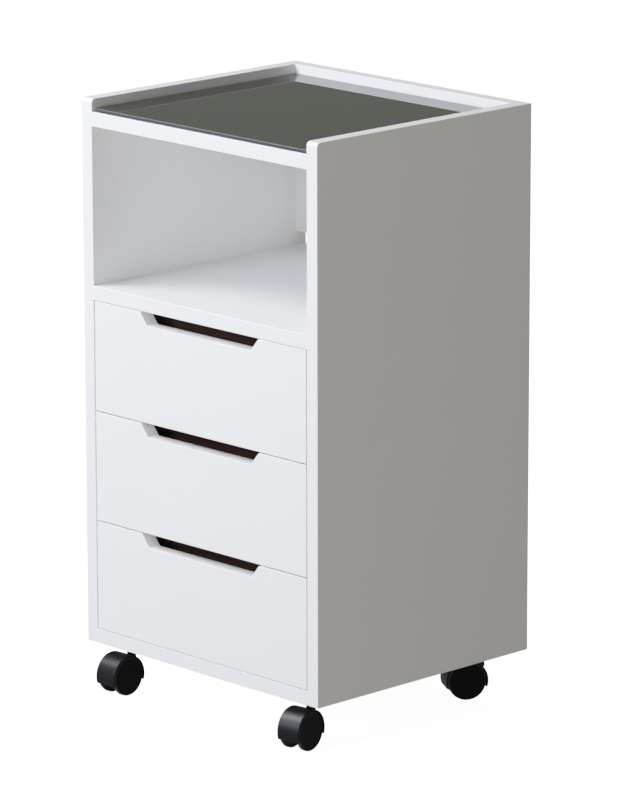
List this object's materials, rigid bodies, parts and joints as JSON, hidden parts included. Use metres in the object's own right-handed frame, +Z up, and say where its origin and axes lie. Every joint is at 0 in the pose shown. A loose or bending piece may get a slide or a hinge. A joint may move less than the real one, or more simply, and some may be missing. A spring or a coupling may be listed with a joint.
{
  "type": "rolling pedestal cabinet",
  "caption": "Rolling pedestal cabinet with a glass-topped tray, an open compartment, notched drawers on roller runners, and hooded twin-wheel swivel castors.",
  "frame": {"origin": "on the floor, under the middle of the footprint with the castors as they stand", "axes": "+X to the right of someone facing the drawers, -Y out of the front, +Z up"},
  "size_m": [0.34, 0.3117, 0.618],
  "materials": {
    "white_lacquer": "satin white lacquer on board",
    "smoked_glass": "polished, dark smoked",
    "drawer_box_wood": "dark brown wood, matt",
    "runner_steel": "white powder coat",
    "zinc_steel": "zinc plated",
    "castor_hood_plastic": "semi-gloss black, moulded",
    "castor_wheel_plastic": "satin black, moulded"
  },
  "bodies": {
    "carcase": {"side_left": "white_lacquer", "side_right": "white_lacquer", "top_board": "white_lacquer", "shelf_board": "white_lacquer", "base_board": "white_lacquer", "back_board": "white_lacquer", "glass_top": "smoked_glass", "cabinet_runner_bottom_left": "runner_steel", "cabinet_runner_bottom_right": "runner_steel", "cabinet_runner_middle_left": "runner_steel", "cabinet_runner_middle_right": "runner_steel", "cabinet_runner_top_left": "runner_steel", "cabinet_runner_top_right": "runner_steel", "castor_plate_front_left": "zinc_steel", "castor_plate_front_right": "zinc_steel", "castor_plate_rear_left": "zinc_steel", "castor_plate_rear_right": "zinc_steel"},
    "drawer_bottom": {"drawer_bottom_front": "white_lacquer", "drawer_bottom_box_front": "drawer_box_wood", "drawer_bottom_box_back": "drawer_box_wood", "drawer_bottom_bottom": "drawer_box_wood", "drawer_bottom_side_left": "drawer_box_wood", "drawer_bottom_side_right": "drawer_box_wood", "drawer_bottom_runner_left": "runner_steel", "drawer_bottom_runner_right": "runner_steel"},
    "drawer_middle": {"drawer_middle_front": "white_lacquer", "drawer_middle_box_front": "drawer_box_wood", "drawer_middle_box_back": "drawer_box_wood", "drawer_middle_bottom": "drawer_box_wood", "drawer_middle_side_left": "drawer_box_wood", "drawer_middle_side_right": "drawer_box_wood", "drawer_middle_runner_left": "runner_steel", "drawer_middle_runner_right": "runner_steel"},
    "drawer_top": {"drawer_top_front": "white_lacquer", "drawer_top_box_front": "drawer_box_wood", "drawer_top_box_back": "drawer_box_wood", "drawer_top_bottom": "drawer_box_wood", "drawer_top_side_left": "drawer_box_wood", "drawer_top_side_right": "drawer_box_wood", "drawer_top_runner_left": "runner_steel", "drawer_top_runner_right": "runner_steel"},
    "castor_front_left": {"castor_hood_front_left": "castor_hood_plastic", "castor_axle_front_left": "zinc_steel"},
    "wheel_front_left_left": {"wheel_front_left_left": "castor_wheel_plastic"},
    "wheel_front_left_right": {"wheel_front_left_right": "castor_wheel_plastic"},
    "castor_front_right": {"castor_hood_front_right": "castor_hood_plastic", "castor_axle_front_right": "zinc_steel"},
    "wheel_front_right_left": {"wheel_front_right_left": "castor_wheel_plastic"},
    "wheel_front_right_right": {"wheel_front_right_right": "castor_wheel_plastic"},
    "castor_rear_left": {"castor_hood_rear_left": "castor_hood_plastic", "castor_axle_rear_left": "zinc_steel"},
    "wheel_rear_left_left": {"wheel_rear_left_left": "castor_wheel_plastic"},
    "wheel_rear_left_right": {"wheel_rear_left_right": "castor_wheel_plastic"},
    "castor_rear_right": {"castor_hood_rear_right": "castor_hood_plastic", "castor_axle_rear_right": "zinc_steel"},
    "wheel_rear_right_left": {"wheel_rear_right_left": "castor_wheel_plastic"},
    "wheel_rear_right_right": {"wheel_rear_right_right": "castor_wheel_plastic"}
  },
  "joints": [
    {"name": "drawer_bottom_slide", "type": "slide", "parent": "carcase", "child": "drawer_bottom", "axis": [0, -1, 0], "range_m": [0, 0.18]},
    {"name": "drawer_middle_slide", "type": "slide", "parent": "carcase", "child": "drawer_middle", "axis": [0, -1, 0], "range_m": [0, 0.18]},
    {"name": "drawer_top_slide", "type": "slide", "parent": "carcase", "child": "drawer_top", "axis": [0, -1, 0], "range_m": [0, 0.18]},
    {"name": "castor_front_left_swivel", "type": "hinge", "parent": "carcase", "child": "castor_front_left", "pos_m": [-0.1325, -0.1165, 0.045], "axis": [0, 0, 1], "continuous": true},
    {"name": "wheel_front_left_left_spin", "type": "hinge", "parent": "castor_front_left", "child": "wheel_front_left_left", "pos_m": [-0.13193, -0.13279, 0.02], "axis": [0.9994, 0.0349, 0], "continuous": true},
    {"name": "wheel_front_left_right_spin", "type": "hinge", "parent": "castor_front_left", "child": "wheel_front_left_right", "pos_m": [-0.13193, -0.13279, 0.02], "axis": [0.9994, 0.0349, 0], "continuous": true},
    {"name": "castor_front_right_swivel", "type": "hinge", "parent": "carcase", "child": "castor_front_right", "pos_m": [0.1325, -0.1165, 0.045], "axis": [0, 0, 1], "continuous": true},
    {"name": "wheel_front_right_left_spin", "type": "hinge", "parent": "castor_front_right", "child": "wheel_front_right_left", "pos_m": [0.13505, -0.1326, 0.02], "axis": [0.9877, 0.1564, 0], "continuous": true},
    {"name": "wheel_front_right_right_spin", "type": "hinge", "parent": "castor_front_right", "child": "wheel_front_right_right", "pos_m": [0.13505, -0.1326, 0.02], "axis": [0.9877, 0.1564, 0], "continuous": true},
    {"name": "castor_rear_left_swivel", "type": "hinge", "parent": "carcase", "child": "castor_rear_left", "pos_m": [-0.1325, 0.124, 0.045], "axis": [0, 0, 1], "continuous": true},
    {"name": "wheel_rear_left_left_spin", "type": "hinge", "parent": "castor_rear_left", "child": "wheel_rear_left_left", "pos_m": [-0.12693, 0.10868, 0.02], "axis": [0.9397, 0.342, 0], "continuous": true},
    {"name": "wheel_rear_left_right_spin", "type": "hinge", "parent": "castor_rear_left", "child": "wheel_rear_left_right", "pos_m": [-0.12693, 0.10868, 0.02], "axis": [0.9397, 0.342, 0], "continuous": true},
    {"name": "castor_rear_right_swivel", "type": "hinge", "parent": "carcase", "child": "castor_rear_right", "pos_m": [0.1325, 0.124, 0.045], "axis": [0, 0, 1], "continuous": true},
    {"name": "wheel_rear_right_left_spin", "type": "hinge", "parent": "castor_rear_right", "child": "wheel_rear_right_left", "pos_m": [0.1241, 0.11003, 0.02], "axis": [0.8572, -0.515, 0], "continuous": true},
    {"name": "wheel_rear_right_right_spin", "type": "hinge", "parent": "castor_rear_right", "child": "wheel_rear_right_right", "pos_m": [0.1241, 0.11003, 0.02], "axis": [0.8572, -0.515, 0], "continuous": true}
  ]
}
